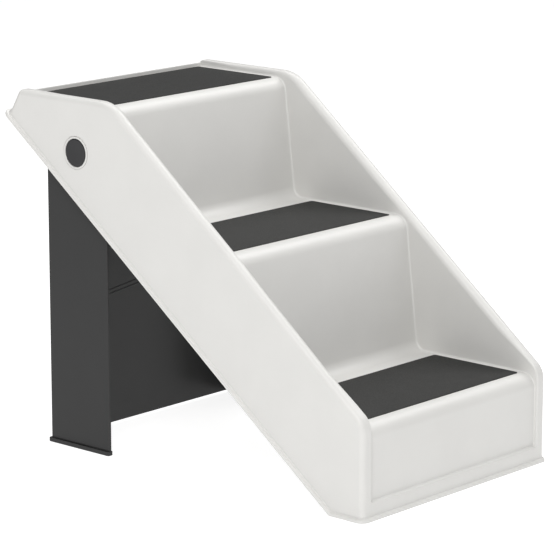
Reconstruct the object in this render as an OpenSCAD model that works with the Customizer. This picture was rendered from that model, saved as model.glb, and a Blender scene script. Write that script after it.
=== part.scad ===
// Folding pet stairs: three treads with grip mats between two side rails, on a swing-out stand.
// X runs to the right seen from the front, Y runs back towards the high end and Z runs up.
// The origin is on the floor, under the middle of the overall box.

/* [Body] */
// Width over the bottom flange
overall_w = 400; // [360:5:460]
// Length from the front flange to the rear flange
overall_l = 670; // [640:5:720]
// Height of the rail tops above the floor
overall_h = 503; // [489:2:539]
// Drop from the rail tops to the corner of the rear flange
rear_drop = 33.8; // [28:0.1:41]
// Length of the flat base that stands on the floor
base_l = 58.7; // [45:0.1:70]
// Gap that the front feet leave between the flange and the floor
base_gap = 1; // [0.5:0.1:2]
// Thickness of the moulded skin
skin_t = 2.5; // [2:0.1:3.5]
// Distance that the flange stands out from the sides and the front
flange_out = 4; // [2.5:0.5:6]
// Distance that the flange stands out at the rear
flange_rear_out = 7.5; // [4:0.5:10]
// Thickness of the flange
flange_t = 4.5; // [3:0.5:6]
// Radius of the flange corners seen from above
flange_corner_r = 14; // [10:1:18]
// Angle of the rear wall to the floor, in degrees
rear_wall_a = 58.5; // [54:0.5:63]

/* [Rails] */
// Width of a side rail
rail_w = 18.5; // [17:0.5:22]
// Height above the bottom tread where the slope of the rails would meet the front face
rail_front_rise = 5.8; // [3:0.1:10]
// Distance from the rear flange to where the slope would meet the rail top
rail_top_l = 208; // [200:1:214]
// Radius of the bend at the front of the rails
rail_front_r = 28; // [20:1:34]
// Radius of the bend at the top of the rails
rail_top_r = 60; // [40:1:80]
// Radius of the rear corner of the rails
rail_rear_r = 7; // [4:0.5:10]
// Rounding of the outer edge of the rails
rail_outer_r = 10; // [8:0.5:11]
// Width of the bevel on the inner edge of the rails
rail_bevel_w = 3.8; // [2.5:0.1:4.2]

/* [Steps] */
// Height of the rail tops above the top tread
rail_over_tread = 10; // [8:0.5:14]
// Height of the bottom tread as a share of the top tread's height
bottom_tread_share = 0.259; // [0.25:0.001:0.27]
// Height of the middle tread as a share of the top tread's height
middle_tread_share = 0.647; // [0.635:0.001:0.66]
// Distance from the rear flange to the edge of the top tread
top_nose_l = 197; // [190:0.5:204]
// Place of the middle tread's edge between the other two, as a share
middle_nose_share = 0.501; // [0.49:0.001:0.51]
// Angle by which the risers lean back, in degrees
riser_lean_a = 6.7; // [4:0.1:9]
// Radius of the tread edges
nose_r = 20; // [14:1:24]
// Radius where a tread meets the riser behind it
tread_foot_r = 18; // [14:1:26]
// Depth of the recess in the front face
recess_d = 5; // [3:0.5:7]
// Height of the ledge under that recess
recess_ledge_h = 25.5; // [20:0.5:34]
// Height of the low rim behind the top tread
rear_rim_h = 6; // [4:0.5:7]
// Thickness of that rim
rear_rim_t = 3; // [2:0.5:5]
// Thickness of the ribs under the treads
rib_t = 2.5; // [2:0.5:4]
// Depth of the ribs below the treads
rib_d = 14; // [8:1:16]
// Distance between the ribs
rib_pitch = 90; // [60:5:105]
// Distance from the ribs to the plane of the underside
rib_clear = 8; // [6:1:10]

/* [Mats] */
// Depth that a mat leaves free between the edges of two treads
mat_free_d = 83; // [80:1:92]
// Distance from the mats to the rails
mat_side_gap = 7.5; // [5:0.5:12]
// Distance from the edge of a tread to its mat
mat_setback = 23; // [20:0.5:26]
// Distance from the edge of the top tread to its mat
top_mat_setback = 16.5; // [14:0.5:18]
// Thickness of a mat
mat_t = 2; // [1.5:0.1:3]
// Depth of the pocket that a mat lies in
mat_pocket_d = 1; // [0.5:0.1:1.2]
// Radius of the mat corners
mat_corner_r = 4; // [2:0.5:8]
// Clearance between a mat and its pocket
mat_clear = 0.4; // [0.2:0.1:0.8]

/* [Stand] */
// Distance from the stand's pivot to the rear flange
pivot_from_rear = 143.5; // [138:0.5:150]
// Distance from the pivot to the plane of the underside
pivot_inset = 53.4; // [50:0.1:56]
// Distance from the pivot to the front edge of the stand
stand_front_d = 53; // [50:1:58]
// Distance from the pivot to the rear face of the stand
stand_rear_d = 63; // [60:1:66]
// Thickness of the stand's panels
stand_t = 3; // [2.5:0.1:4]
// Distance from the outer face of a side panel to the skin beside it
stand_side_gap = 4; // [3.5:0.1:5]
// Radius of the top corners of the side panels
stand_top_r = 50; // [44:1:52]
// Distance from the rear panel's top edge to the plane of the underside
stand_rear_clear = 6; // [4:0.5:10]
// Height of the lower bead on the rear panel, at the sides
bead_h = 180; // [120:5:260]
// Rise of the beads from the sides to the middle
bead_rise = 22; // [10:1:30]
// Distance between the two beads
bead_pitch = 6; // [5:0.5:10]
// Width of a bead
bead_w = 3; // [2:0.5:4]
// Height that a bead stands out from the panel
bead_out = 1; // [0.5:0.1:1.5]

/* [Feet] */
// Height of a rubber foot strip under the stand
strip_h = 6; // [5:0.5:8]
// Width of a foot strip
strip_w = 10; // [9:0.5:10.5]
// Depth of rubber under the edge of the stand
strip_floor_t = 4; // [3:0.5:4.5]
// Distance that a foot strip runs past the stand at the front
strip_front_over = 0.5; // [0.5:0.5:4]
// Distance that a foot strip runs past the stand at the rear
strip_rear_over = 4; // [2:0.5:6]
// Length of a front foot
front_foot_l = 30; // [24:1:36]
// Width of a front foot
front_foot_w = 36; // [28:1:44]
// Thickness of a front foot
front_foot_t = 6; // [5:0.5:8]
// Corner radius of a front foot
front_foot_r = 5; // [3:0.5:8]

/* [Pivot hubs] */
// Radius of the push button in each hub
button_r = 19.8; // [18:0.1:20.5]
// Travel of a button
button_travel = 5; // [4:0.5:5.5]
// Distance that a button stands out from the side
button_out = 0.5; // [0.2:0.1:0.8]
// Clearance round a button
button_clear = 0.3; // [0.2:0.05:0.5]
// Wall thickness of a button
button_wall = 2.5; // [2:0.1:3]
// Length of a button's skirt
button_skirt_l = 15; // [13:0.5:17]
// Radius of a button's guide stem
stem_r = 4.5; // [3.5:0.1:5]
// Width of the rim round a button
rim_w = 2.6; // [2:0.1:3.5]
// Height of the rim round a button
rim_out = 0.8; // [0.4:0.1:1.2]
// Radius of the bearing ring that the stand turns on
hub_r = 30; // [29:0.5:32]
// Length of the bearing ring
hub_l = 9; // [8.5:0.1:10]
// Wall thickness of the bearing ring
hub_wall = 2.5; // [2:0.1:2.6]
// Running clearance between the bearing ring and the stand
hub_fit = 0.05; // [0.02:0.01:0.1]
// Width of the boss round the hole in a side panel
ear_boss_w = 12; // [9:0.5:14]
// Thickness of that boss
ear_boss_t = 6.5; // [5.5:0.1:6.8]
// Width of the keys on a button
key_w = 5; // [4:0.5:6]
// Thickness of the keys
key_t = 4; // [3:0.1:4.2]
// Distance that the keys reach past the bearing ring
key_reach = 4.5; // [3:0.5:5.5]
// Angle that the stand folds through, in degrees
fold_a = 52; // [48:1:53]
// Thickness of a retainer
retainer_t = 3; // [2.5:0.1:3.5]
// Distance that a retainer's flange covers past the bearing ring
retainer_over = 7; // [6:0.5:9]
// Depth of a retainer's cup
retainer_cup_l = 20; // [19:0.5:24]
// Radius of a retainer screw's shank
screw_r = 1.5; // [1.2:0.1:1.6]
// Radius of a screw head
screw_head_r = 2.3; // [2:0.1:2.4]
// Thickness of a screw head
screw_head_t = 1.8; // [1.4:0.1:2.2]
// Length of a screw's shank
screw_l = 9; // [8:0.5:10]
// Number of screws in each retainer
screw_count = 3; // [2:1:3]
// Mean radius of a button spring
spring_r = 8.5; // [7:0.1:11]
// Radius of the spring's wire
spring_wire_r = 0.7; // [0.5:0.05:0.9]
// Number of turns in the spring
spring_turns = 5; // [3:1:6]

/* [Hidden] */

$fn = 64;
arc_steps = 6;
round_steps = 4;
overrun = 12;
screw_clear = 0.1;
stand_play = 1;
slit = 0.05;

// The side skins and the clear width between the rails
skin_x = overall_w / 2 - flange_out;
skin_in_x = skin_x - skin_t;
rail_in_x = skin_x - rail_w;

// Directions along the slope of the underside and square to it
slope_a = atan((overall_h - rear_drop - base_gap) / (overall_l - base_l));
up_slope = [cos(slope_a), sin(slope_a)];
off_slope = [-sin(slope_a), cos(slope_a)];
// The underside rises from the base to the rear flange's corner
rear_corner = [overall_l, overall_h - rear_drop];
rear_foot = rear_corner - flange_rear_out * up_slope;
rear_top_y = rear_foot.x - (overall_h - rear_foot.y) / tan(rear_wall_a);

// Treads and the noses of the two upper ones
top_tread_h = overall_h - rail_over_tread;
middle_tread_h = middle_tread_share * top_tread_h;
bottom_tread_h = bottom_tread_share * top_tread_h;
recess_y = flange_out + recess_d;
top_nose_y = overall_l - top_nose_l;
middle_nose_y = recess_y + (top_nose_y - recess_y) * middle_nose_share;

// Where the slope of the rails meets the front face and the rail top
rail_front_h = bottom_tread_h + rail_front_rise;
rail_top_y = overall_l - rail_top_l;

// The side outline, anticlockwise: base, underside, rear wall, top, slope, front
side_pts = [[flange_out, base_gap], [base_l, base_gap], rear_foot, [rear_top_y, overall_h],
    [rail_top_y, overall_h], [flange_out, rail_front_h]];
side_radii = [0, 0, 0, rail_rear_r, rail_top_r, rail_front_r];
open_edges = [overrun, overrun, -skin_t, -skin_t, -skin_t, -skin_t];
// The skin starts inside the flange, which closes its lower edge
seat_edges = [-flange_t / 2, -flange_t / 2, 0, 0, 0, 0];
// How much of the rounding each edge takes; the hidden lower edges take next to none
rounded_edge_shares = [0.05, 0.05, 1, 1, 1, 1];
// Corners of the outline where the inner bevel turns, and how far round each bend it has come
bevel_shares = [[4, 0], [4, 0.27], [4, 0.61], [4, 1], [5, 0.29], [5, 0.61]];

// Where the pivot lies, seen from the side
pivot_y = overall_l - pivot_from_rear;
pivot_z = base_gap + (pivot_y - base_l) * tan(slope_a) + pivot_inset / cos(slope_a);

// The space above the steps, anticlockwise from the ledge in the front face
lean = tan(riser_lean_a);
rim_z = top_tread_h + rear_rim_h;
rim_y = rear_foot.x - (rim_z - rear_foot.y) / tan(rear_wall_a) - rear_rim_t;
step_pts = [[-overrun, recess_ledge_h], [recess_y, recess_ledge_h],
    [recess_y, bottom_tread_h],
    [middle_nose_y - (middle_tread_h - bottom_tread_h) * lean, bottom_tread_h],
    [middle_nose_y, middle_tread_h],
    [top_nose_y - (top_tread_h - middle_tread_h) * lean, middle_tread_h],
    [top_nose_y, top_tread_h], [rim_y, top_tread_h], [rim_y, rim_z],
    [overall_l + overrun, rim_z], [overall_l + overrun, overall_h + overrun],
    [-overrun, overall_h + overrun]];
step_radii = [0, 0, nose_r, tread_foot_r, nose_r, tread_foot_r, nose_r, 0, 0, 0, 0, 0];

// Mats: front edge and tread height
mat_w = 2 * (rail_in_x - mat_side_gap);
mat_d = (top_nose_y - recess_y) / 2 - mat_free_d;
bottom_mat_at = [recess_y + mat_setback, bottom_tread_h];
middle_mat_at = [middle_nose_y + mat_setback, middle_tread_h];
top_mat_at = [top_nose_y + top_mat_setback, top_tread_h];

// Stand, measured from the pivot
panel_x = skin_in_x - stand_side_gap;
stand_front_y = pivot_y - stand_front_d;
stand_rear_y = pivot_y + stand_rear_d;
stand_inner_y = stand_rear_y - stand_t;
stand_top_z = pivot_z + stand_top_r;
rear_panel_z = base_gap + (stand_inner_y - base_l) * tan(slope_a)
    - stand_rear_clear / cos(slope_a);
strip_x = panel_x - stand_t / 2;

// Pivot hub, measured inwards from the skin's inner face
bore_r = button_r + button_clear;
guide_r = bore_r + hub_wall;
pillar_r = (guide_r + hub_r - hub_wall) / 2;
pillar_wall_r = (hub_r - guide_r) / 2 + slit;
ear_r = hub_r + hub_fit;
key_r = hub_r + key_reach;
ear_mid = stand_side_gap + stand_t / 2;
ear_near = ear_mid - ear_boss_t / 2;
key_near = ear_mid - key_t / 2;
key_clear = button_clear;
cup_floor = hub_l + retainer_cup_l;
button_face = -skin_t - button_out;
button_inside = button_face + button_wall + button_out;

// Points round the corner p between a and b, at radius r
function corner(a, p, b, r) =
    r <= 0 ? [p] :
    let (u = (a - p) / norm(a - p), w = (b - p) / norm(b - p),
        half = acos(u * w) / 2,
        c = p + (u + w) / norm(u + w) * r / sin(half),
        from = p + u * r / tan(half) - c,
        to = p + w * r / tan(half) - c,
        start = atan2(from.y, from.x),
        gap = atan2(to.y, to.x) - start,
        turn = gap > 180 ? gap - 360 : gap < -180 ? gap + 360 : gap)
    [for (i = [0:arc_steps]) let (t = start + turn * i / arc_steps) c + r * [cos(t), sin(t)]];

function pick(list, i) = list[(i + len(list)) % len(list)];

function rounded(pts, radii) =
    [for (i = [0:len(pts) - 1]) each corner(pick(pts, i - 1), pts[i], pick(pts, i + 1), radii[i])];

function crossed(a, b) = a.x * b.y - a.y * b.x;

// The corner at i once the edge before it moves out by d0 and the edge after it by d1
function moved(pts, i, d0, d1) =
    let (u = pts[i] - pick(pts, i - 1), w = pick(pts, i + 1) - pts[i],
        p = pts[i] + d0 * [u.y, -u.x] / norm(u),
        q = pts[i] + d1 * [w.y, -w.x] / norm(w))
    p + u * crossed(q - p, w) / crossed(u, w);

// An anticlockwise outline with each edge moved out by its own distance
function grown(pts, ds) = [for (i = [0:len(pts) - 1]) moved(pts, i, pick(ds, i - 1), ds[i])];

// The same for one distance, with the radii that keep the wall even
function evenly(pts, radii, d) =
    rounded(grown(pts, [for (p = pts) d]),
        [for (i = [0:len(pts) - 1])
            let (u = pts[i] - pick(pts, i - 1), w = pick(pts, i + 1) - pts[i])
            radii[i] == 0 ? 0 : max(0, radii[i] + (crossed(u, w) > 0 ? d : -d))]);

// A rounded rectangle from corner a to corner b
function plate_pts(a, b, radii) = rounded([a, [b.x, a.y], b, [a.x, b.y]], radii);

// Draws a side outline from x0 to x1
module across(x0, x1) {
    translate([x0, 0, 0]) rotate([90, 0, 90]) linear_extrude(x1 - x0) children();
}

// Puts a hub piece on the right side, with z running inwards from the skin's inner face
module at_hub() {
    translate([skin_in_x, pivot_y, pivot_z]) rotate([0, -90, 0]) children();
}

module both_sides() {
    children();
    mirror([1, 0, 0]) children();
}

// Brings the whole model over the origin
module placed() {
    translate([0, -overall_l / 2, 0]) children();
}

// The side outline from -x to x, with its edges moved by ds and its long edges rounded to r.
module side_block(x, ds, radii, r) {
    hull() for (i = [0:round_steps])
        let (a = 90 * i / round_steps, inset = r * (1 - cos(a)), at = x - r * (1 - sin(a)))
        across(-at, at)
            polygon(rounded(grown(side_pts, ds - inset * rounded_edge_shares),
                [for (k = radii) max(0, k - inset)]));
}

// Bevels the inner edge of the right rail, from x outwards, on an outline moved in by inset.
// One prism runs along each direction that the outline takes from the top to the front.
module rail_bevel(x, w, inset) {
    for (at = bevel_shares)
        let (i = at[0], bend = side_radii[i],
            before = side_pts[i] - side_pts[i - 1],
            after = pick(side_pts, i + 1) - side_pts[i],
            turn = asin(crossed(before, after) / norm(before) / norm(after)),
            start = atan2(-before.x, before.y),
            middle = start + turn / 2,
            c = side_pts[i] - bend / cos(turn / 2) * [cos(middle), sin(middle)],
            t = start + turn * at[1],
            foot = c + (bend - inset) * [cos(t), sin(t)])
        translate([0, foot.x, foot.y]) rotate([t - 90, 0, 0])
            translate([0, overall_l, 0]) rotate([90, 0, 0]) linear_extrude(2 * overall_l)
                polygon([[x - slit, -w - slit], [x + w + skin_t, skin_t], [x - slit, skin_t]]);
}

// The skin's flange round the base, the underside and the rear wall
module flange() {
    top = grown([[0, base_gap], [base_l, base_gap], rear_corner], [-flange_t, -flange_t, 0]);
    intersection() {
        across(-overall_w / 2, overall_w / 2)
            polygon([[0, base_gap], [base_l, base_gap], rear_corner,
                rear_corner + flange_t * off_slope, top[1], [0, base_gap + flange_t]]);
        linear_extrude(overall_h)
            polygon(plate_pts([-overall_w / 2, 0], [overall_w / 2, overall_l],
                [for (i = [0:3]) flange_corner_r]));
    }
}

// The room inside the skin, down through the underside
module hollow() {
    difference() {
        side_block(skin_in_x, open_edges, [for (r = side_radii) max(0, r - skin_t)],
            rail_outer_r - skin_t);
        across(-rail_in_x - skin_t, rail_in_x + skin_t)
            polygon(evenly(step_pts, step_radii, skin_t));
        both_sides() rail_bevel(rail_in_x + skin_t, rail_bevel_w - skin_t * (2 - sqrt(2)), skin_t);
    }
}

module ribs() {
    intersection() {
        for (i = [-1:1]) across(i * rib_pitch - rib_t / 2, i * rib_pitch + rib_t / 2)
            polygon(grown(side_pts, [-rib_clear, -rib_clear, -slit, -slit, -slit, -slit]));
        difference() {
            across(-rail_in_x, rail_in_x)
                polygon(evenly(step_pts, step_radii, skin_t + rib_d));
            across(-skin_x, skin_x) polygon(evenly(step_pts, step_radii, skin_t / 2));
        }
    }
}

// A ledge in each front corner that carries the front feet
module foot_shelf() {
    z = front_foot_t;
    across(skin_in_x - front_foot_w - skin_t, skin_in_x + slit)
        polygon([[flange_out + slit, z], [flange_out + skin_t + front_foot_l + skin_t, z],
            [flange_out + skin_t + front_foot_l + skin_t, z + skin_t],
            [flange_out + slit, z + skin_t]]);
}

// The slots that the keys of a button slide in
module key_slots(near, far) {
    for (side = [-1, 1]) scale([side, side, 1])
        translate([bore_r - hub_wall, -key_w / 2 - key_clear, near])
            cube([key_r - bore_r + hub_wall + key_clear, key_w + 2 * key_clear, far - near]);
}

// Bearing ring, guide tube and screw pillars on the inner face of the skin
module hub_boss() {
    at_hub() difference() {
        union() {
            translate([0, 0, -slit]) difference() {
                cylinder(h = hub_l + slit, r = hub_r);
                translate([0, 0, -slit]) cylinder(h = hub_l + 3 * slit, r = hub_r - hub_wall);
            }
            translate([0, 0, -slit]) cylinder(h = hub_l + slit, r = guide_r);
            for (i = [0:screw_count - 1]) rotate(90 + i * 360 / screw_count)
                translate([pillar_r, 0, -slit]) cylinder(h = hub_l + slit, r = pillar_wall_r);
        }
        translate([0, 0, -overrun]) cylinder(h = hub_l + 2 * overrun, r = bore_r);
        for (i = [0:screw_count - 1]) rotate(90 + i * 360 / screw_count)
            translate([pillar_r, 0, hub_l + retainer_t - screw_l - screw_clear])
                cylinder(h = screw_l, r = screw_r + screw_clear);
        key_slots(key_near - key_clear, hub_l + overrun);
    }
}

module button_rim() {
    at_hub() translate([0, 0, -skin_t - rim_out]) difference() {
        cylinder(h = rim_out + slit, r = bore_r + rim_w);
        translate([0, 0, -slit]) cylinder(h = rim_out + 3 * slit, r = bore_r);
    }
}

module mat_shape(at, grow, z0, z1) {
    x = mat_w / 2 + grow;
    translate([0, 0, at.y + z0]) linear_extrude(z1 - z0)
        polygon(plate_pts([-x, at.x - grow], [x, at.x + mat_d + grow],
            [for (i = [0:3]) mat_corner_r + grow]));
}

module body_shell() {
    color("#e9e8e4") placed() {
        difference() {
            union() {
                difference() {
                    side_block(skin_x, seat_edges, side_radii, rail_outer_r);
                    across(-rail_in_x, rail_in_x) polygon(rounded(step_pts, step_radii));
                    both_sides() rail_bevel(rail_in_x, rail_bevel_w, 0);
                }
                flange();
                both_sides() button_rim();
            }
            hollow();
            for (at = [bottom_mat_at, middle_mat_at, top_mat_at])
                mat_shape(at, mat_clear, -mat_pocket_d, mat_t);
            both_sides() at_hub() translate([0, 0, -overrun]) cylinder(h = 2 * overrun, r = bore_r);
        }
        ribs();
        both_sides() foot_shelf();
        both_sides() hub_boss();
    }
}

module tread_mat(at) {
    color("#474745") placed() mat_shape(at, 0, -mat_pocket_d, mat_t - mat_pocket_d);
}

module front_foot(side) {
    y = flange_out + skin_t + stand_play;
    x = skin_in_x - stand_play;
    color("#2b2b2b") placed() scale([side, 1, 1]) linear_extrude(front_foot_t)
        polygon(plate_pts([x - front_foot_w + stand_play, y], [x, y + front_foot_l],
            [for (i = [0:3]) front_foot_r]));
}

// A side panel of the stand with its pivot hole
module stand_side() {
    difference() {
        union() {
            across(panel_x - stand_t, panel_x)
                polygon(plate_pts([stand_front_y, strip_floor_t], [stand_rear_y, stand_top_z],
                    [0, 0, stand_top_r, stand_top_r]));
            at_hub() translate([0, 0, ear_near])
                cylinder(h = ear_boss_t, r = ear_r + ear_boss_w);
        }
        at_hub() cylinder(h = hub_l + overrun, r = ear_r);
        at_hub() key_arcs();
    }
}

// The arcs that the keys run along while the stand folds
module key_arcs() {
    spare = 2 * asin((key_w / 2 + key_clear) / hub_r);
    reach = 2 * key_r;
    intersection() {
        cylinder(h = hub_l + overrun, r = key_r + key_clear);
        for (turn = [0, 180]) rotate(turn) linear_extrude(hub_l + overrun)
            polygon([[0, 0], for (i = [0:arc_steps])
                let (a = spare / 2 + stand_play - i * (fold_a + spare + 2 * stand_play) / arc_steps)
                reach * [cos(a), sin(a)]]);
    }
}

module bead(z) {
    across_w = panel_x - stand_t / 2;
    y = stand_inner_y - bead_out;
    for (side = [-1, 1]) scale([side, 1, 1])
        translate([0, y + bead_out + slit, 0]) rotate([90, 0, 0]) linear_extrude(bead_out + slit)
            polygon([[-slit, z + bead_rise], [across_w, z], [across_w, z + bead_w],
                [-slit, z + bead_rise + bead_w]]);
}

module stand_frame() {
    color("#3a3a3a") placed() {
        both_sides() stand_side();
        translate([-panel_x, stand_inner_y, strip_floor_t])
            cube([2 * panel_x, stand_t, rear_panel_z - strip_floor_t]);
        bead(bead_h);
        bead(bead_h + bead_pitch);
    }
}

module foot_strip(side) {
    y0 = stand_front_y - strip_front_over;
    y1 = stand_rear_y + strip_rear_over;
    color("#262626") placed() scale([side, 1, 1]) difference() {
        linear_extrude(strip_h)
            polygon(plate_pts([strip_x - strip_w / 2, y0], [strip_x + strip_w / 2, y1],
                [for (i = [0:3]) strip_w / 3]));
        translate([panel_x - stand_t, stand_front_y, strip_floor_t])
            cube([stand_t, stand_rear_y - stand_front_y, strip_h]);
        translate([panel_x - strip_w, stand_inner_y, strip_floor_t])
            cube([strip_w, stand_t, strip_h]);
    }
}

module hub_button(side) {
    color("#3c3c3e") placed() scale([side, 1, 1]) at_hub() {
        difference() {
            translate([0, 0, button_face])
                cylinder(h = button_skirt_l, r = button_r);
            translate([0, 0, button_inside]) cylinder(h = button_skirt_l, r = button_r - button_wall);
        }
        translate([0, 0, button_inside - slit])
            cylinder(h = cup_floor + 2 * retainer_t - button_inside, r = stem_r);
        for (turn = [-1, 1]) scale([turn, turn, 1])
            translate([button_r - button_wall / 2, -key_w / 2, key_near])
                cube([key_r - button_r + button_wall / 2, key_w, key_t]);
    }
}

module hub_retainer(side) {
    color("#d9d8d4") placed() scale([side, 1, 1]) at_hub() difference() {
        union() {
            translate([0, 0, hub_l]) cylinder(h = retainer_t, r = hub_r + retainer_over);
            translate([0, 0, hub_l]) cylinder(h = retainer_cup_l + retainer_t, r = guide_r);
        }
        translate([0, 0, -slit]) cylinder(h = cup_floor + slit, r = bore_r);
        cylinder(h = cup_floor + overrun, r = stem_r + button_clear);
        for (i = [0:screw_count - 1]) rotate(90 + i * 360 / screw_count)
            translate([pillar_r, 0, 0]) cylinder(h = hub_l + overrun, r = screw_r + screw_clear);
        key_slots(hub_l - slit, key_near + key_t + button_travel + key_clear);
    }
}

module retainer_screws() {
    color("#a8a8a8") placed() both_sides() at_hub()
        for (i = [0:screw_count - 1]) rotate(90 + i * 360 / screw_count)
            translate([pillar_r, 0, hub_l + retainer_t]) {
                cylinder(h = screw_head_t, r = screw_head_r);
                translate([0, 0, -screw_l + screw_clear + slit]) cylinder(h = screw_l, r = screw_r);
            }
}

// A coil between the button and the floor of the cup, as one swept tube
module button_spring(side) {
    ring_count = 8;
    side_count = 6;
    l = cup_floor - button_inside - 2 * spring_wire_r;
    rings = spring_turns * ring_count;
    pts = [for (i = [0:rings], k = [0:side_count - 1])
        let (a = 360 * i / ring_count, b = 360 * k / side_count,
            r = spring_r + spring_wire_r * cos(b),
            z = button_inside + spring_wire_r + l * i / rings + spring_wire_r * sin(b))
        [r * cos(a), r * sin(a), z]];
    faces = [for (i = [0:rings - 1]) for (k = [0:side_count - 1])
        let (n = (k + 1) % side_count, p = i * side_count, q = p + side_count)
        each [[p + k, q + n, p + n], [p + k, q + k, q + n]]];
    first = [for (k = [1:side_count - 2]) [0, k, k + 1]];
    last = [for (k = [1:side_count - 2]) let (p = rings * side_count) [p, p + k + 1, p + k]];
    color("#c0c0c0") placed() scale([side, 1, 1]) at_hub()
        polyhedron(points = pts, faces = concat(faces, first, last));
}

body_shell();
tread_mat(bottom_mat_at);  // bottom_mat
tread_mat(middle_mat_at);  // middle_mat
tread_mat(top_mat_at);  // top_mat
front_foot(-1);  // front_foot_left
front_foot(1);  // front_foot_right
stand_frame();
foot_strip(-1);  // foot_strip_left
foot_strip(1);  // foot_strip_right
hub_button(-1);  // hub_button_left
hub_button(1);  // hub_button_right
button_spring(-1);  // button_spring_left
button_spring(1);  // button_spring_right
hub_retainer(-1);  // hub_retainer_left
hub_retainer(1);  // hub_retainer_right
retainer_screws();
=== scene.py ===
import bpy
import bmesh
import math
from mathutils import Matrix, Vector


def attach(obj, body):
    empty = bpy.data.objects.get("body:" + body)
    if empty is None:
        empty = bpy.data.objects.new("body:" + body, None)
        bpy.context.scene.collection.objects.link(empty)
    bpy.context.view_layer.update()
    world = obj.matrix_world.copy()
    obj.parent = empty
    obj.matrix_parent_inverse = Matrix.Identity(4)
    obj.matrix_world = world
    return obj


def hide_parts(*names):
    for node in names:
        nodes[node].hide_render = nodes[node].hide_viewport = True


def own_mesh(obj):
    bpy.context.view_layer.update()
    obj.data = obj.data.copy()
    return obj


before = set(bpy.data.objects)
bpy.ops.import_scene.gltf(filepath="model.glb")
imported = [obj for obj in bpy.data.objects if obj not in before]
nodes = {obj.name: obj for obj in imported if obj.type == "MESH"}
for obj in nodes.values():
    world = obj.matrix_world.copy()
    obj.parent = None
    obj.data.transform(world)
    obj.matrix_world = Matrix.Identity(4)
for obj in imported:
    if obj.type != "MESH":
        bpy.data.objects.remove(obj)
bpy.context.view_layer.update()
print("frame loaded with", len(nodes), "nodes")

# The stairs in millimetres, as in the part's source. Back is measured from the front flange.
stairs = {
    "length": 670, "height": 503, "flangeX": 200, "skinX": 196, "railX": 177.5, "skin": 2.5,
    "slope": math.radians(37.4488), "base": 58.7, "gap": 1, "front": 4,
    "rearWall": math.radians(58.5), "rearLip": 7.5, "lipHeight": 4.5,
    "railFront": 133.487, "railTopBack": 462, "ledge": 25.5,
    "treads": [127.687, 318.971, 493], "noses": [9, 241.464, 473], "lean": math.tan(math.radians(6.7)),
    "pivot": (526.5, 426.555), "welded": 0.01, "overlap": 0.1,
}
tanSlope = math.tan(stairs["slope"])
alongSlope = Vector((math.cos(stairs["slope"]), math.sin(stairs["slope"])))
squareToSlope = Vector((-alongSlope.y, alongSlope.x))
rearCorner = Vector((stairs["length"], stairs["gap"] + (stairs["length"] - stairs["base"]) * tanSlope))
rearFoot = rearCorner - stairs["rearLip"] * alongSlope


def rearWallAt(up):
    return rearFoot.x - (up - rearFoot.y) / math.tan(stairs["rearWall"])


def riserAt(step, up):
    return stairs["noses"][step] - (stairs["treads"][step] - up) * stairs["lean"]


# Helpers for meshes

def bevelEdges(bm, edges, size, segments):
    return bmesh.ops.bevel(bm, geom=list(edges), offset=size, offset_type="OFFSET", affect="EDGES",
                           segments=segments, profile=0.5, material=-1)["faces"]


def extrudeFaces(bm, faces, step):
    made = bmesh.ops.extrude_face_region(bm, geom=list(faces))["geom"]
    bmesh.ops.translate(bm, vec=Vector(step), verts=[g for g in made if isinstance(g, bmesh.types.BMVert)])
    return [g for g in made if isinstance(g, bmesh.types.BMFace)]


def sideFace(bm, x, outline):
    # A flat face in the side view from its corners (back, up)
    return bm.faces.new([bm.verts.new((x, back, up)) for back, up in outline])


def spinProfile(bm, profile, centre, steps):
    # Turns corners (x, radius) round the X line through centre (back, up)
    verts = [bm.verts.new((x, centre[0], centre[1] + radius)) for x, radius in profile]
    edges = [bm.edges.new(pair) for pair in zip(verts, verts[1:])]
    bmesh.ops.spin(bm, geom=verts + edges, cent=(0, centre[0], centre[1]), axis=(1, 0, 0),
                   angle=2 * math.pi, steps=steps, use_merge=True, use_duplicate=False)
    bmesh.ops.remove_doubles(bm, verts=bm.verts, dist=stairs["welded"] / 10)


def addBlock(bm, low, high, corner=0, edge=0, cornerSteps=5, edgeSteps=2):
    # A block between two corners; its upright edges are rounded first, then all the others
    low, high = Vector(low), Vector(high)
    made = bmesh.ops.create_cube(bm, size=1)["verts"]
    bmesh.ops.scale(bm, vec=high - low, verts=made)
    bmesh.ops.translate(bm, vec=(low + high) / 2, verts=made)
    edges = {e for v in made for e in v.link_edges}
    if corner:
        upright = [e for e in edges if abs(e.verts[0].co.z - e.verts[1].co.z) > stairs["welded"]]
        bevelEdges(bm, upright, corner, cornerSteps)
    if edge:
        spare = Vector((stairs["welded"],) * 3)
        own = [v for v in bm.verts if all(a < b < c for a, b, c in zip(low - spare, v.co, high + spare))]
        sharp = {e for v in own for e in v.link_edges if e.calc_face_angle(0) > 1}
        bevelEdges(bm, sharp, edge, edgeSteps)


def mirrorSide(bm):
    bmesh.ops.mirror(bm, geom=bm.verts[:] + bm.edges[:] + bm.faces[:], axis="X",
                     merge_dist=stairs["welded"] / 10)
    bmesh.ops.recalc_face_normals(bm, faces=bm.faces)


def addObject(bm, name):
    # From millimetres behind the front flange to the frame's metres
    bmesh.ops.transform(bm, matrix=Matrix.Scale(0.001, 4) @ Matrix.Translation((0, -stairs["length"] / 2, 0)),
                        verts=bm.verts)
    mesh = bpy.data.meshes.new(name)
    bm.to_mesh(mesh)
    bm.free()
    thing = bpy.data.objects.new(name, mesh)
    bpy.context.scene.collection.objects.link(thing)
    return thing


def shadeSmooth(mesh, sharpAngle):
    mesh.polygons.foreach_set("use_smooth", [True] * len(mesh.polygons))
    mesh.set_sharp_from_angle(angle=math.radians(sharpAngle))


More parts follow.
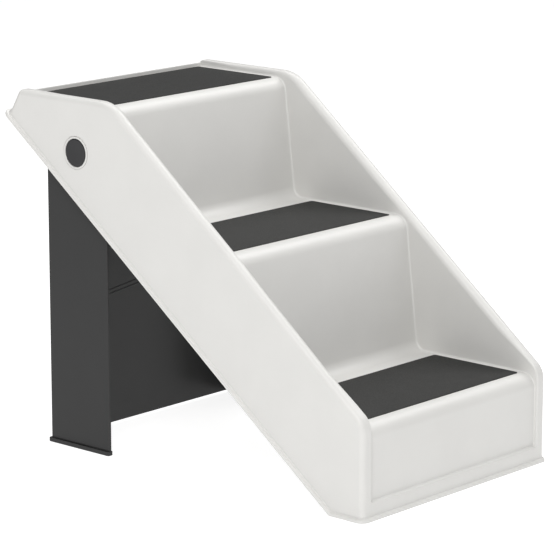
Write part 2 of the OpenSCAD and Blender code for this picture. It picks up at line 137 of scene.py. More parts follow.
def makePiece(bm, name, body, material, replaced=(), sharpAngle=32):
    piece = addObject(bm, name)
    shadeSmooth(piece.data, sharpAngle)
    piece.data.materials.append(material)
    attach(piece, body)
    if replaced:
        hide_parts(*replaced)
    return piece


def addModifier(piece, kind, **settings):
    modifier = piece.modifiers.new(kind.lower(), kind)
    for key, value in settings.items():
        setattr(modifier, key, value)
    return modifier


def cutAway(piece, bm, sharpAngle=32):
    # Takes the shapes in bm out of the piece and keeps the result as its mesh
    cutter = addObject(bm, "cutter")
    addModifier(piece, "BOOLEAN", operation="DIFFERENCE", solver="EXACT", object=cutter)
    mesh = bpy.data.meshes.new_from_object(piece.evaluated_get(bpy.context.evaluated_depsgraph_get()))
    piece.modifiers.clear()
    piece.data = mesh
    shadeSmooth(mesh, sharpAngle)
    bpy.data.objects.remove(cutter)


# Helpers for materials

def linearColour(hexColour):
    channels = [int(hexColour[i:i + 2], 16) / 255 for i in (1, 3, 5)]
    return [c / 12.92 if c <= 0.04045 else ((c + 0.055) / 1.055) ** 2.4 for c in channels] + [1.0]


def perMillimetre(size):
    # A texture's scale in metres for features of this size in millimetres
    return 1000 / size


def addNode(tree, kind, settings=None, links=None):
    node = tree.nodes.new(kind)
    for key, value in (settings or {}).items():
        if isinstance(key, int) or key in node.inputs:
            node.inputs[key].default_value = value
        else:
            setattr(node, key, value)
    for socket, source in (links or {}).items():
        tree.links.new(source, node.inputs[socket])
    return node


def startMaterial(name, shader):
    material = bpy.data.materials.new(name)
    material.use_nodes = True
    tree = material.node_tree
    tree.nodes.clear()
    surface = addNode(tree, "ShaderNodeBsdfPrincipled", shader)
    addNode(tree, "ShaderNodeOutputMaterial", None, {"Surface": surface.outputs["BSDF"]})
    coords = addNode(tree, "ShaderNodeTexCoord").outputs["Object"]
    return material, tree, surface, coords


def mouldedPlastic(name, look):
    # A satin moulding: cloudy colour from the melt's flow, a fine spark-eroded grain and
    # a roughness that wanders a little where the tool was worn smoother
    material, tree, surface, coords = startMaterial(name, {"IOR": look["ior"], "Metallic": 0.0,
                                                           "Specular IOR Level": look.get("gloss", 0.5)})
    clouds = addNode(tree, "ShaderNodeTexNoise", {"Scale": perMillimetre(look["cloud"]), "Detail": 3.0},
                     {"Vector": coords})
    grain = addNode(tree, "ShaderNodeTexNoise", {"Scale": perMillimetre(look["grain"]), "Detail": 2.0},
                    {"Vector": coords})
    ramp = addNode(tree, "ShaderNodeValToRGB", None, {"Fac": clouds.outputs["Fac"]})
    ramp.color_ramp.elements[0].position, ramp.color_ramp.elements[1].position = 0.3, 0.7
    ramp.color_ramp.elements[0].color = linearColour(look["shade"])
    ramp.color_ramp.elements[1].color = linearColour(look["colour"])
    rough = addNode(tree, "ShaderNodeMapRange", {"From Min": 0.3, "From Max": 0.7,
                    "To Min": look["rough"][0], "To Max": look["rough"][1]}, {"Value": clouds.outputs["Fac"]})
    bump = addNode(tree, "ShaderNodeBump", {"Strength": look["bump"], "Distance": look["depth"] / 1000},
                   {"Height": grain.outputs["Fac"]})
    for socket, source in (("Base Color", ramp.outputs["Color"]), ("Roughness", rough.outputs["Result"]),
                           ("Normal", bump.outputs["Normal"])):
        tree.links.new(source, surface.inputs[socket])
    return material


# White polypropylene copolymer, injection moulded in a finely textured tool. To the eye: a soft warm
# white with wide, mild highlights on the rounded edges and no visible grain from a step away
whiteShellLook = {"colour": "#D6D5D2", "shade": "#D3D2CF", "ior": 1.49, "cloud": 60, "grain": 0.5,
                  "rough": (0.36, 0.42), "bump": 0.1, "depth": 0.05}
whiteShell = mouldedPlastic("whitePolypropyleneMoulded", whiteShellLook)
# Black polypropylene, moulded in a smoother tool. To the eye: a dark satin that dimly mirrors what
# is round it, light beside the floor and nearly black where it faces the other panel
blackStandLook = {"colour": "#2D2D2D", "shade": "#2B2B2B", "ior": 1.49, "cloud": 45, "grain": 0.6,
                  "rough": (0.28, 0.34), "gloss": 0.25, "bump": 0.2, "depth": 0.06}
blackStand = mouldedPlastic("blackPolypropyleneMoulded", blackStandLook)
# Acetal, moulded. To the eye: a slightly cool charcoal, tighter and smoother than the stand
buttonLook = {"colour": "#1C1C1E", "shade": "#1A1A1C", "ior": 1.49, "cloud": 20, "grain": 0.5,
              "rough": (0.4, 0.46), "bump": 0.12, "depth": 0.05}
buttonPlastic = mouldedPlastic("charcoalAcetalMoulded", buttonLook)
# Moulded rubber for the feet. To the eye: dull and a little lighter than the stand, finely pebbled
rubberLook = {"colour": "#2B2B2B", "shade": "#272727", "ior": 1.52, "cloud": 15, "grain": 0.8,
              "rough": (0.66, 0.76), "bump": 0.3, "depth": 0.1}
footRubber = mouldedPlastic("blackRubberMoulded", rubberLook)
# White nylon, moulded. To the eye: drier and a shade duller than the shell that it sits in
retainerLook = {"colour": "#D4D3CF", "shade": "#CFCEC9", "ior": 1.49, "cloud": 30, "grain": 0.5,
                "rough": (0.45, 0.52), "bump": 0.1, "depth": 0.05}
retainerPlastic = mouldedPlastic("whiteNylonMoulded", retainerLook)


def gripMat(look):
    # Calendered rubber sheet with a pebbled grip face. To the eye: an even dark grey without shine,
    # its pebbles of 1.4 mm only just there as a fine speckle
    material, tree, surface, coords = startMaterial("greyRubberPebbled", {"IOR": 1.52, "Metallic": 0.0,
                                                                          "Specular IOR Level": look["gloss"]})
    pebbles = addNode(tree, "ShaderNodeTexVoronoi", {"Scale": perMillimetre(look["pebble"])}, {"Vector": coords})
    clouds = addNode(tree, "ShaderNodeTexNoise", {"Scale": perMillimetre(look["cloud"]), "Detail": 4.0},
                     {"Vector": coords})
    ramp = addNode(tree, "ShaderNodeValToRGB", None, {"Fac": clouds.outputs["Fac"]})
    ramp.color_ramp.elements[0].position, ramp.color_ramp.elements[1].position = 0.35, 0.65
    ramp.color_ramp.elements[0].color = linearColour(look["shade"])
    ramp.color_ramp.elements[1].color = linearColour(look["colour"])
    rough = addNode(tree, "ShaderNodeMapRange", {"From Min": 0.0, "From Max": 0.7,
                    "To Min": look["rough"][0], "To Max": look["rough"][1]}, {"Value": pebbles.outputs["Distance"]})
    bump = addNode(tree, "ShaderNodeBump", {"Strength": look["bump"], "Distance": look["depth"] / 1000,
                   "invert": True}, {"Height": pebbles.outputs["Distance"]})
    for socket, source in (("Base Color", ramp.outputs["Color"]), ("Roughness", rough.outputs["Result"]),
                           ("Normal", bump.outputs["Normal"])):
        tree.links.new(source, surface.inputs[socket])
    return material


matLook = {"colour": "#2C2C2B", "shade": "#292928", "pebble": 1.4, "cloud": 25, "rough": (0.55, 0.7),
           "gloss": 0.22, "bump": 0.25, "depth": 0.15}
matRubber = gripMat(matLook)


def drawnMetal(name, look):
    # Drawn wire and screws. To the eye: bright metal whose shine is broken up by fine die marks
    material, tree, surface, coords = startMaterial(name, {"Metallic": 1.0,
                                                           "Base Color": linearColour(look["colour"])})
    marks = addNode(tree, "ShaderNodeTexNoise", {"Scale": perMillimetre(look["mark"]), "Detail": 2.0},
                    {"Vector": coords})
    rough = addNode(tree, "ShaderNodeMapRange", {"To Min": look["rough"][0], "To Max": look["rough"][1]},
                    {"Value": marks.outputs["Fac"]})
    tree.links.new(rough.outputs["Result"], surface.inputs["Roughness"])
    return material


springSteel = drawnMetal("springSteelDrawn", {"colour": "#B9B8B4", "mark": 0.4, "rough": (0.22, 0.38)})
screwSteel = drawnMetal("zincPlatedSteel", {"colour": "#BDBFC2", "mark": 0.6, "rough": (0.3, 0.45)})
print("materials made")


# The shell's skin: rails, treads and risers as one sheet, given its thickness at the end
skin = {
    "railTopRadius": 60, "railFrontRadius": 28, "railRearRadius": 9, "noseRadius": 20, "footRadius": 18,
    "outerEdge": 8, "recessEdge": 2.6, "wallFillet": 3, "recessFillet": 2, "recessCorner": 3,
    "cove": 1.6, "rearCove": (4.6, 10), "lipEdge": 2.2, "lipFlat": 0.2,
    "outerSteps": 7, "innerSteps": 6, "filletSteps": 4, "bendSteps": 10, "frontSteps": 8, "rearSteps": 6,
    "innerEdges": [(16, 2.6), (80, 9.5), (175, 9.5), (240, 8), (310, 9.5), (425, 9.5), (484, 6.6),
                   (560, 6.6), (622, 2)],
    "slopeRows": [*range(20, 90, 8), 120, *range(170, 320, 10), 360, *range(400, 441, 10)],
    "topRows": range(564, 626, 10), "filletTaper": [34, 40, 46, 52, 58], "notch": 498,
    "matGap": 0.4, "pocketDepth": 1, "pocketCorner": 4.4, "boreRadius": 20.1, "boreX": (186, 202),
    "groove": (22.7, 23.7, 195.3), "cutAbove": 9, "boreSteps": 64, "rimSteps": 96,
}
mats = {"halfWidth": 170, "depth": 149, "starts": [32, 264.464, 489.5]}


def quarter(steps):
    # Sine and cosine of equal steps over a quarter turn
    return [(math.sin(a), math.cos(a)) for a in (math.pi / 2 * i / steps for i in range(steps + 1))]


def roundedPath(corners, side):
    # Points of a path in the side view and the direction square to it there, left or right as side says.
    # A corner is (point, radius, steps); one of radius 0 only adds a point on a straight
    path = []
    for i, (point, radius, steps) in enumerate(corners):
        point = Vector(point)
        before = Vector(corners[i - 1][0]) if i else None
        after = Vector(corners[i + 1][0]) if i + 1 < len(corners) else None
        along = (after - point if before is None else point - before).normalized()
        square = side * Vector((-along.y, along.x))
        if not radius:
            path.append((point, square))
            continue
        u, w = (before - point).normalized(), (after - point).normalized()
        half = u.angle(w) / 2
        centre = point + (u + w).normalized() * radius / math.sin(half)
        start = point + u * radius / math.tan(half) - centre
        turn = (point + w * radius / math.tan(half) - centre).angle_signed(start)
        facing = 1 if start.dot(square) > 0 else -1
        for k in range(steps + 1):
            ray = start.copy()
            ray.rotate(Matrix.Rotation(turn * k / steps, 2))
            path.append((centre + ray, facing * ray.normalized()))
    return path


def bridgeSections(bm, sections):
    # Joins open sections of equal length, each to the next
    chains = []
    for section in sections:
        verts = [bm.verts.new(point) for point in section]
        chains.append([bm.edges.new(pair) for pair in zip(verts, verts[1:])])
    for low, high in zip(chains, chains[1:]):
        bmesh.ops.bridge_loops(bm, edges=low + high)


def addFace(bm, points):
    bm.faces.new([bm.verts.new(point) for point in points])


def grownBetween(back, places, low, high):
    return low + (high - low) * max(0, min(1, (back - places[0]) / (places[-1] - places[0])))


def innerEdgeAt(back):
    # The rail's inner rounding is full along the slope and gives way where a nose comes close
    stops = skin["innerEdges"]
    for (low, start), (high, end) in zip(stops, stops[1:]):
        if back < high:
            part = max(0, (back - low) / (high - low))
            return start + (end - start) * part * part * (3 - 2 * part)
    return stops[-1][1]


wallUp = Vector((-math.cos(stairs["rearWall"]), math.sin(stairs["rearWall"])))


def stepPath():
    # The steps' outline from the foot of the front recess to the rear wall
    treads, noses = stairs["treads"], stairs["noses"]
    corners = [((noses[0], stairs["ledge"] + skin["recessCorner"]), 0, 0),
               ((noses[0], treads[0]), skin["noseRadius"], skin["bendSteps"])]
    corners += [((back, treads[0]), 0, 0) for back in skin["filletTaper"]]
    for step in (1, 2):
        corners += [((riserAt(step, treads[step - 1]), treads[step - 1]), skin["footRadius"], skin["bendSteps"]),
                    ((noses[step], treads[step]), skin["noseRadius"], skin["bendSteps"])]
    corners.append(((rearWallAt(treads[2]), treads[2]), 0, 0))
    path = roundedPath(corners, 1)
    path[-1] = (path[-1][0], wallUp / wallUp.y)
    return path


def solidAcross(x, point):
    return Vector((x, point.x, point.y))


def buildSkin():
    # The left half in patches that share their edges: rail, steps, front recess, flats and lip
    bm = bmesh.new()
    outer, cove, ledge = skin["outerEdge"], skin["cove"], stairs["ledge"]
    flangeOut = stairs["flangeX"] - stairs["skinX"]
    lipTop = stairs["gap"] + stairs["lipHeight"]
    recessBack, recessTop = stairs["noses"][0], ledge + skin["recessCorner"]
    lean = wallUp.cross(alongSlope) * -1
    rearLow = rearFoot + wallUp * stairs["lipHeight"] / lean
    rearOut = stairs["rearLip"] - (rearLow - rearFoot).dot(alongSlope)
    railX, skinX = -stairs["railX"], -stairs["skinX"]
    outerArc = [(skinX + outer * (1 - c), outer * (1 - s)) for s, c in quarter(skin["outerSteps"])]

    # The rail from its outer wall over its top to its inner wall
    slope = (stairs["height"] - stairs["railFront"]) / (stairs["railTopBack"] - stairs["front"])
    corners = [((stairs["front"], lipTop + cove), 0, 0), ((stairs["front"], recessTop), 0, 0),
               ((stairs["front"], stairs["railFront"]), skin["railFrontRadius"], skin["frontSteps"])]
    corners += [((back, stairs["railFront"] + (back - stairs["front"]) * slope), 0, 0)
                for back in skin["slopeRows"]]
    corners.append(((stairs["railTopBack"], stairs["height"]), skin["railTopRadius"], skin["bendSteps"]))
    corners += [((back, stairs["height"]), 0, 0) for back in skin["topRows"]]
    corners += [((rearWallAt(stairs["height"]), stairs["height"]), skin["railRearRadius"], skin["rearSteps"]),
                ((rearWallAt(skin["notch"]), skin["notch"]), 0, 0), (tuple(rearLow), 0, 0)]
    rail = roundedPath(corners, -1)
    rows = [[solidAcross(x, point + inset * square) for x, inset in outerArc] for point, square in rail]
    rearCove = Vector(skin["rearCove"])
    lowerRear = []
    for (x, inset), (s, _) in zip(outerArc, quarter(skin["outerSteps"])):
        foot = rearLow - alongSlope * inset / lean
        lowerRear.append((x, foot, squareToSlope.lerp(wallUp, s), Vector((cove, cove)).lerp(rearCove, s)))
    rows[-1] = [solidAcross(x, foot + up * size.y) for x, foot, up, size in lowerRear]
    bridgeSections(bm, rows)
    inner = []
    for point, square in rail[1:-1]:
        radius = innerEdgeAt(point.x)
        inner.append([solidAcross(railX - radius * (1 - s), point + radius * (1 - c) * square)
                      for s, c in quarter(skin["innerSteps"])])
    bridgeSections(bm, [[row[-1]] + arc for row, arc in zip(rows[1:-1], inner)])
    notchCorner = solidAcross(railX, rail[-2][0])
    addFace(bm, inner[-1] + [notchCorner])

    # The steps, with a fillet where they meet the rail
    steps = stepPath()
    treadRows = []
    for point, square in steps:
        radius = grownBetween(point.x, skin["filletTaper"], skin["recessFillet"], skin["wallFillet"])
        arc = [(railX + radius * (1 - c), point + radius * (1 - s) * square)
               for s, c in quarter(skin["filletSteps"])]
        treadRows.append([solidAcross(x, at) for x, at in arc] + [solidAcross(0, point)])
    bridgeSections(bm, treadRows)
    addFace(bm, [arc[-1] for arc in inner] + [notchCorner] + [row[0] for row in treadRows[::-1]])

    # The recess in the front face runs down, round its corner and along the ledge
    corner = skin["recessCorner"]
    recess = [(0, ledge, 0, 1)] + [(railX + corner * (1 - s), recessTop - corner * c, s, c)
                                   for s, c in quarter(skin["filletSteps"])]
    edge, fillet, deep = skin["recessEdge"], skin["recessFillet"], recessBack - stairs["front"]
    profile = [(-edge * (1 - s), edge * (1 - c)) for s, c in quarter(skin["innerSteps"])]
    profile += [(fillet * (1 - c), deep - fillet * (1 - s)) for s, c in quarter(skin["filletSteps"])]
    recessRows = [[Vector((x + out * mx, stairs["front"] + depth, z + out * mz)) for out, depth in profile]
                  for x, z, mx, mz in recess]
    bridgeSections(bm, recessRows)
    addFace(bm, [row[-1] for row in recessRows] + [treadRows[0][-1]])
    addFace(bm, [Vector((0, stairs["front"], lipTop + cove)), rows[0][-1], rows[1][-1]]
            + [row[0] for row in recessRows[::-1]])
    addFace(bm, [solidAcross(0, rearLow + wallUp * rearCove.y), rows[-1][-1], rows[-2][-1], inner[-1][0],
                 notchCorner] + treadRows[-1])

    # The lip turns out of the wall with a small cove and ends in a rounded edge
    upright, square = Vector((0, 0, 1)), solidAcross(0, squareToSlope)
    mitre = Vector((0, -math.tan(stairs["slope"] / 2), 1))
    kink = Vector((skinX, stairs["base"] - stairs["lipHeight"] * math.tan(stairs["slope"] / 2), lipTop))
    even = Vector((cove, cove))
    lip = [(Vector((0, stairs["front"], lipTop)), Vector((0, -flangeOut, 0)), upright, upright, even)]
    lip += [(Vector((x, stairs["front"] + inset, lipTop)), flangeOut * Vector((-c, -s, 0)), upright, upright, even)
            for (x, inset), (s, c) in list(zip(outerArc, quarter(skin["outerSteps"])))[::-1]]
    lip.append((kink, Vector((-flangeOut, 0, 0)), mitre, mitre, even))
    lip += [(solidAcross(x, foot), Vector((-flangeOut * c, 0, 0)) + rearOut * s * solidAcross(0, alongSlope),
             solidAcross(0, up), square, size)
            for (x, foot, up, size), (s, c) in zip(lowerRear, quarter(skin["outerSteps"]))]
    lip.append((solidAcross(0, rearLow), rearOut * solidAcross(0, alongSlope), solidAcross(0, wallUp), square,
                rearCove))
    lipRows = []
    for foot, outward, wall, up, size in lip:
        reach, edge = outward.length, skin["lipEdge"]
        room = min(size.x, reach - edge - skin["lipFlat"])
        line = [(room * (1 - c), size.y * (1 - s)) for s, c in quarter(skin["filletSteps"])]
        line += [(reach - edge * (1 - s), -edge * (1 - c)) for s, c in quarter(skin["filletSteps"])]
        line.append((reach, -stairs["lipHeight"]))
        lipRows.append([foot + outward.normalized() * out + (wall if high > 0 else up) * high for out, high in line])
    bridgeSections(bm, lipRows)
    addFace(bm, [row[0] for row in rows] + [kink + mitre * cove])

    bmesh.ops.remove_doubles(bm, verts=bm.verts, dist=stairs["welded"])
    mirrorSide(bm)
    return bm


def cutouts():
    # A pocket under each mat, and the bores of the two buttons with a groove round their rims
    bm = bmesh.new()
    half, back = mats["halfWidth"] + skin["matGap"], mats["depth"] + skin["matGap"]
    for start, tread in zip(mats["starts"], stairs["treads"]):
        addBlock(bm, (-half, start - skin["matGap"], tread - skin["pocketDepth"]),
                 (half, start + back, tread + skin["cutAbove"]), corner=skin["pocketCorner"])
    near, far, grooveFloor = skin["groove"]
    for side in (-1, 1):
        within, beyond, floor = side * skin["boreX"][0], side * skin["boreX"][1], side * grooveFloor
        bore = [(within, 0), (within, skin["boreRadius"]), (beyond, skin["boreRadius"]), (beyond, 0)]
        groove = [(floor, near), (floor, far), (beyond, far), (beyond, near), (floor, near)]
        spinProfile(bm, bore, stairs["pivot"], skin["boreSteps"])
        spinProfile(bm, groove, stairs["pivot"], skin["rimSteps"])
    bmesh.ops.recalc_face_normals(bm, faces=bm.faces)
    return bm


skinPiece = makePiece(buildSkin(), "shellSkin", "body", whiteShell, ["body_shell"])
addModifier(skinPiece, "SOLIDIFY", thickness=stairs["skin"] / 1000, offset=-1, use_even_offset=True,
            use_quality_normals=True)
cutAway(skinPiece, cutouts())
addModifier(skinPiece, "WEIGHTED_NORMAL", keep_sharp=True)
print("skin built")


# The rim behind the top tread, the ribs under the treads and the ledges for the front feet
inside = {
    "wall": 193.5, "rimFrom": 492.9, "rimTop": 499, "rimThickness": 3, "rimEdge": 1.1, "rimInset": 0.05,
    "ribs": [-90, 0, 90], "ribThickness": 2.5, "ribFrom": 1.5, "ribTo": 16.5, "ribClear": 8,
    "shelfLow": (155, 5, 6), "shelfHigh": (193.6, 39, 8.5), "shelfEdge": 0.6,
}


def sweepAcross(bm, outline, x0, x1):
    face = sideFace(bm, x0, outline)
    extrudeFaces(bm, [face], (x1 - x0, 0, 0))
    bmesh.ops.recalc_face_normals(bm, faces=bm.faces)


def rearRim():
    bm = bmesh.new()
    front = rearWallAt(inside["rimTop"]) - inside["rimThickness"]
    low, top, inset = inside["rimFrom"], inside["rimTop"], inside["rimInset"]
    sweepAcross(bm, [(front, low), (rearWallAt(low) - inset, low), (rearWallAt(top) - inset, top), (front, top)],
                -stairs["railX"] - stairs["overlap"], stairs["railX"] + stairs["overlap"])
    upper = [e for e in bm.edges if all(v.co.z > top - stairs["welded"] for v in e.verts)
             and abs(e.verts[0].co.x - e.verts[1].co.x) > 1]
    bevelEdges(bm, upper, inside["rimEdge"], 4)
    return bm


def ribs():
    # A band that follows the steps from inside, kept clear of the underside
    bm = bmesh.new()
    for rib in inside["ribs"]:
        x = rib - inside["ribThickness"] / 2
        bridgeSections(bm, [[Vector((x, *(point - depth * square))) for depth in (inside["ribFrom"], inside["ribTo"])]
                            for point, square in stepPath()])
    bmesh.ops.remove_doubles(bm, verts=bm.verts, dist=stairs["welded"])
    slope, rear = solidAcross(0, squareToSlope), Vector((0, wallUp.y, -wallUp.x))
    kink, corner = Vector((0, stairs["base"], stairs["gap"])), solidAcross(0, rearFoot)
    for place, facing in ((kink + slope * inside["ribClear"], slope), (corner - rear * inside["ribFrom"], -rear)):
        bmesh.ops.bisect_plane(bm, geom=bm.verts[:] + bm.edges[:] + bm.faces[:], plane_co=place, plane_no=facing,
                               clear_inner=True)
    extrudeFaces(bm, bm.faces[:], (inside["ribThickness"], 0, 0))
    bmesh.ops.recalc_face_normals(bm, faces=bm.faces)
    return bm


def footLedges():
    bm = bmesh.new()
    low, high = Vector(inside["shelfLow"]), Vector(inside["shelfHigh"])
    addBlock(bm, (-high.x, low.y, low.z), (-low.x, high.y, high.z), edge=inside["shelfEdge"])
    mirrorSide(bm)
    return bm


makePiece(rearRim(), "rearRim", "body", whiteShell, ["body_shell"])
makePiece(ribs(), "treadRibs", "body", whiteShell, ["body_shell"])
makePiece(footLedges(), "footLedges", "body", whiteShell, ["body_shell"])
print("rim, ribs and ledges built")


# The hubs on the inner face of the side skins, and the rim round each button outside
hub = {
    "ring": (27.5, 30), "guide": (20.1, 22.6), "end": 184.5, "chamfer": 0.5, "pillar": 3.7, "pillarAt": 25.05,
    "pillarTurns": (90, 210, 330), "pillarChamfer": 0.3, "pillarSteps": 24, "screwHole": 1.6,
    "slotHalf": 2.8, "slotReach": 34.8, "slotX": (180, 190.3), "rim": (20.1, 22.7), "rimOut": 0.8,
    "rimEdge": 0.5, "rimInset": 0.3, "steps": 64, "rimSteps": 96,
}


def tubeProfile(x0, x1, inner, outer, edge):
    # A closed ring section from x0 to x1, with its two edges at x1 taken off
    back = edge if x0 > x1 else -edge
    part = 0.3  # of the edge, at the middle of its rounding
    return [(x0, outer), (x1 + back, outer), (x1 + back * part, outer - edge * part), (x1, outer - edge),
            (x1, inner + edge), (x1 + back * part, inner + edge * part), (x1 + back, inner), (x0, inner),
            (x0, outer)]


def hubRings():
    bm = bmesh.new()
    for inner, outer in (hub["ring"], hub["guide"]):
        spinProfile(bm, tubeProfile(-inside["wall"] - stairs["overlap"], -hub["end"], inner, outer,
                                    hub["chamfer"]), stairs["pivot"], hub["steps"])
    mirrorSide(bm)
    return bm


def keySlots():
    bm = bmesh.new()
    back, up = stairs["pivot"]
    for side in (-1, 1):
        low, high = sorted(side * x for x in hub["slotX"])
        addBlock(bm, (low, back - hub["slotHalf"], up - hub["slotReach"]),
                 (high, back + hub["slotHalf"], up + hub["slotReach"]))
    return bm


def screwPillars():
    bm = bmesh.new()
    section = tubeProfile(-inside["wall"] - stairs["overlap"], -hub["end"], hub["screwHole"], hub["pillar"],
                          hub["pillarChamfer"])
    for turn in hub["pillarTurns"]:
        centre = (stairs["pivot"][0] + hub["pillarAt"] * math.sin(math.radians(turn)),
                  stairs["pivot"][1] + hub["pillarAt"] * math.cos(math.radians(turn)))
        spinProfile(bm, section, centre, hub["pillarSteps"])
    mirrorSide(bm)
    return bm


def buttonRims():
    bm = bmesh.new()
    spinProfile(bm, tubeProfile(-stairs["skinX"] + hub["rimInset"], -stairs["skinX"] - hub["rimOut"],
                                *hub["rim"], hub["rimEdge"]), stairs["pivot"], hub["rimSteps"])
    mirrorSide(bm)
    return bm


rings = makePiece(hubRings(), "hubRings", "body", whiteShell, ["body_shell"])
cutAway(rings, keySlots())
makePiece(screwPillars(), "screwPillars", "body", whiteShell, ["body_shell"])
makePiece(buttonRims(), "buttonRims", "body", whiteShell, ["body_shell"])
print("hubs built")


# Push buttons with their skirt, stem and two keys, and the coil springs behind them
button = {
    "radius": 19.8, "face": 196.5, "dish": 0.35, "dishRings": [(0, 1), (0.35, 0.75), (0.7, 0.2)], "edge": 1.1,
    "edgePart": 0.3, "skirtEnd": 181.5, "skirtChamfer": 0.3, "bore": 17.3, "floor": 193.5, "stem": 4.5,
    "stemEnd": 158.5, "stemFillet": 1, "stemChamfer": 0.5, "keyHalf": 2.5, "keyX": (186, 190),
    "keyReach": 34.5, "keyRoot": 1.2, "keyEdge": 0.5, "steps": 96,
}
spring = {
    "radius": 8.5, "wire": 0.7, "wireSides": 8, "turns": 5, "stepsPerTurn": 24, "from": 192.8, "to": 165.2,
    "anchor": 164.5, "keep": 24 / 29, "sharpAngle": 60,
}


def pushButton(side):
    bm = bmesh.new()
    face, radius, edge, part = -button["face"], button["radius"], button["edge"], button["edgePart"]
    floor, bore, stem = -button["floor"], button["bore"], button["stem"]
    rim, tip = -button["skirtEnd"], -button["stemEnd"]
    chamfer, fillet, blunt = button["skirtChamfer"], button["stemFillet"], button["stemChamfer"]
    profile = [(face + button["dish"] * depth, radius * out) for out, depth in button["dishRings"]]
    profile += [(face, radius - edge * 2), (face, radius - edge),
                (face + edge * part, radius - edge * part), (face + edge, radius),
                (rim - chamfer, radius), (rim, radius - chamfer), (rim, bore + chamfer), (rim - chamfer, bore),
                (floor, bore), (floor, stem + fillet), (floor + fillet, stem),
                (tip - blunt, stem), (tip, stem - blunt), (tip, 0)]
    spinProfile(bm, profile, stairs["pivot"], button["steps"])
    back, up = stairs["pivot"]
    for turn in (-1, 1):
        low, high = sorted(up + turn * reach for reach in (radius - button["keyRoot"], button["keyReach"]))
        addBlock(bm, (-button["keyX"][1], back - button["keyHalf"], low),
                 (-button["keyX"][0], back + button["keyHalf"], high), edge=button["keyEdge"])
    return turnToSide(bm, side)


def coilSpring(side):
    bm = bmesh.new()
    back, up = stairs["pivot"]
    ring = bmesh.ops.create_circle(bm, cap_ends=False, radius=spring["wire"], segments=spring["wireSides"])["verts"]
    bmesh.ops.rotate(bm, cent=(0, 0, 0), matrix=Matrix.Rotation(math.pi / 2, 3, "X"), verts=ring)
    bmesh.ops.translate(bm, vec=(-spring["from"], back, up + spring["radius"]), verts=ring)
    steps = spring["turns"] * spring["stepsPerTurn"]
    bmesh.ops.spin(bm, geom=bm.verts[:] + bm.edges[:], cent=(0, back, up), axis=(1, 0, 0),
                   dvec=((spring["from"] - spring["to"]) / steps, 0, 0), angle=2 * math.pi * spring["turns"],
                   steps=steps, use_merge=False, use_duplicate=False)
    bmesh.ops.holes_fill(bm, edges=bm.edges[:], sides=0)
    return turnToSide(bm, side)


def turnToSide(bm, side):
    # Everything is built on the left; the right one is its mirror image
    if side == "right":
        bmesh.ops.scale(bm, vec=(-1, 1, 1), verts=bm.verts)
    bmesh.ops.recalc_face_normals(bm, faces=bm.faces)
    return bm


for side, sign in (("left", -1), ("right", 1)):
    makePiece(pushButton(side), side + "Button", "button_" + side, buttonPlastic,
              ["hub_button_" + side])
    coil = makePiece(coilSpring(side), side + "Spring", "body", springSteel,
                     ["button_spring_" + side], spring["sharpAngle"])
    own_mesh(coil)
print("buttons and springs built")


# CAD nodes that keep their shape: material, and the radius in millimetres that takes their edges off
finishes = {"stand_frame": (blackStand, 0.7), "bottom_mat": (matRubber, 0.5), "middle_mat": (matRubber, 0.5),
            "top_mat": (matRubber, 0.5), "front_foot_left": (footRubber, 1), "front_foot_right": (footRubber, 1),
            "foot_strip_left": (footRubber, 1.2), "foot_strip_right": (footRubber, 1.2),
            "hub_retainer_left": (retainerPlastic, 0.5), "hub_retainer_right": (retainerPlastic, 0.5),
            "retainer_screws": (screwSteel, 0.3)}
finishing = {"weld": 0.01, "flatAngle": 0.5, "edgeAngle": 40, "edgeSteps": 3}
for nodeName, (material, edge) in finishes.items():
    node = nodes[nodeName]
    node.data.polygons.foreach_set("use_smooth", [True] * len(node.data.polygons))
    addModifier(node, "WELD", merge_threshold=finishing["weld"] / 1000)
    addModifier(node, "DECIMATE", decimate_type="DISSOLVE", angle_limit=math.radians(finishing["flatAngle"]))
    addModifier(node, "BEVEL", limit_method="ANGLE", angle_limit=math.radians(finishing["edgeAngle"]),
                width=edge / 1000, segments=finishing["edgeSteps"], use_clamp_overlap=True, profile=0.5)
    addModifier(node, "WEIGHTED_NORMAL", keep_sharp=False)
    if not node.material_slots:
        node.data.materials.append(material)
    for slotIndex in range(len(node.material_slots)):
        node.material_slots[slotIndex].material = material
print("CAD nodes finished")


# The camera, in metres and degrees, with the focal length in the photograph's pixels
view = {"azimuth": -48.174, "elevation": 12.785, "distance": 4.1753, "focal": 2980.0, "slide": 0.00485,
        "height": 0.24657, "picture": 554, "sensor": 36, "clip": (0.1, 50)}


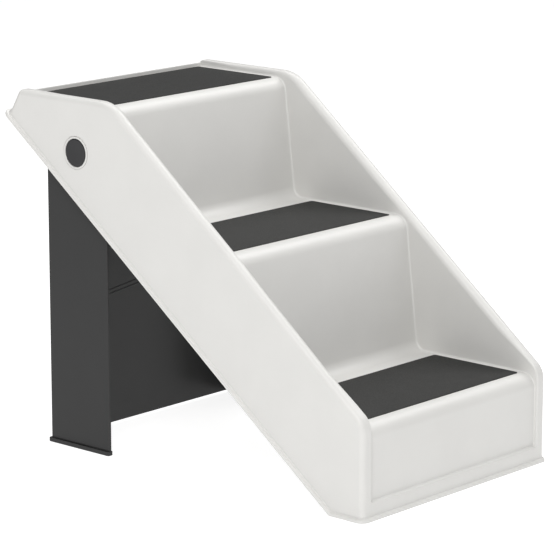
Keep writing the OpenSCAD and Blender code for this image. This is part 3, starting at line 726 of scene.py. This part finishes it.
def makeCamera():
    turn, lift = math.radians(view["azimuth"]), math.radians(view["elevation"])
    target = Vector((view["slide"] * math.cos(turn), view["slide"] * math.sin(turn), view["height"]))
    away = Vector((math.sin(turn) * math.cos(lift), -math.cos(turn) * math.cos(lift), math.sin(lift)))
    data = bpy.data.cameras.new("camera")
    data.sensor_width = view["sensor"]
    data.lens = view["focal"] * view["sensor"] / view["picture"]
    data.clip_start, data.clip_end = view["clip"]
    camera = bpy.data.objects.new("camera", data)
    camera.location = target + away * view["distance"]
    camera.rotation_euler = (-away).to_track_quat("-Z", "Y").to_euler()
    bpy.context.scene.collection.objects.link(camera)
    bpy.context.scene.camera = camera


def addLight(name, place, target, size, power):
    data = bpy.data.lights.new(name, "AREA")
    data.shape, data.size, data.energy = "SQUARE", size, power
    light = bpy.data.objects.new(name, data)
    light.location = place
    light.rotation_euler = (Vector(target) - Vector(place)).to_track_quat("-Z", "Y").to_euler()
    bpy.context.scene.collection.objects.link(light)


# A softly lit white sweep: the floor glows, as one lit from below does, so the ground stays white
# under the stairs too. A light is its place in metres, its size and its power
studio = {
    "world": 0.22, "floorColour": "#AAAAAA", "floorGlow": 0.86, "floorSize": 30, "aim": (0, 0, 0.25),
    "lights": {"keyLight": ((-2.3, -1.9, 3.1), 2.2, 106), "sideLight": ((-3.6, 0.6, 1.4), 2.2, 12),
               "topLight": ((1.9, -0.4, 3.0), 2.2, 50), "rearLight": ((0.6, 1.2, 3.3), 2.2, 38)},
}
makeCamera()
world = bpy.data.worlds.new("studio")
world.use_nodes = True
world.node_tree.nodes["Background"].inputs["Color"].default_value = (1, 1, 1, 1)
world.node_tree.nodes["Background"].inputs["Strength"].default_value = studio["world"]
bpy.context.scene.world = world
bpy.context.scene.view_settings.view_transform = "Standard"
for lightName, (place, size, power) in studio["lights"].items():
    addLight(lightName, place, studio["aim"], size, power)

floorMesh = bmesh.new()
bmesh.ops.create_grid(floorMesh, x_segments=1, y_segments=1, size=studio["floorSize"] / 2)
floorData = bpy.data.meshes.new("studioFloor")
floorMesh.to_mesh(floorData)
floorMesh.free()
studioFloor = bpy.data.objects.new("studioFloor", floorData)
bpy.context.scene.collection.objects.link(studioFloor)
floorPaint = startMaterial("paleStudioFloor", {
    "Base Color": linearColour(studio["floorColour"]), "Roughness": 0.9,
    "Emission Color": (1, 1, 1, 1), "Emission Strength": studio["floorGlow"]})[0]
floorData.materials.append(floorPaint)
print("studio set")
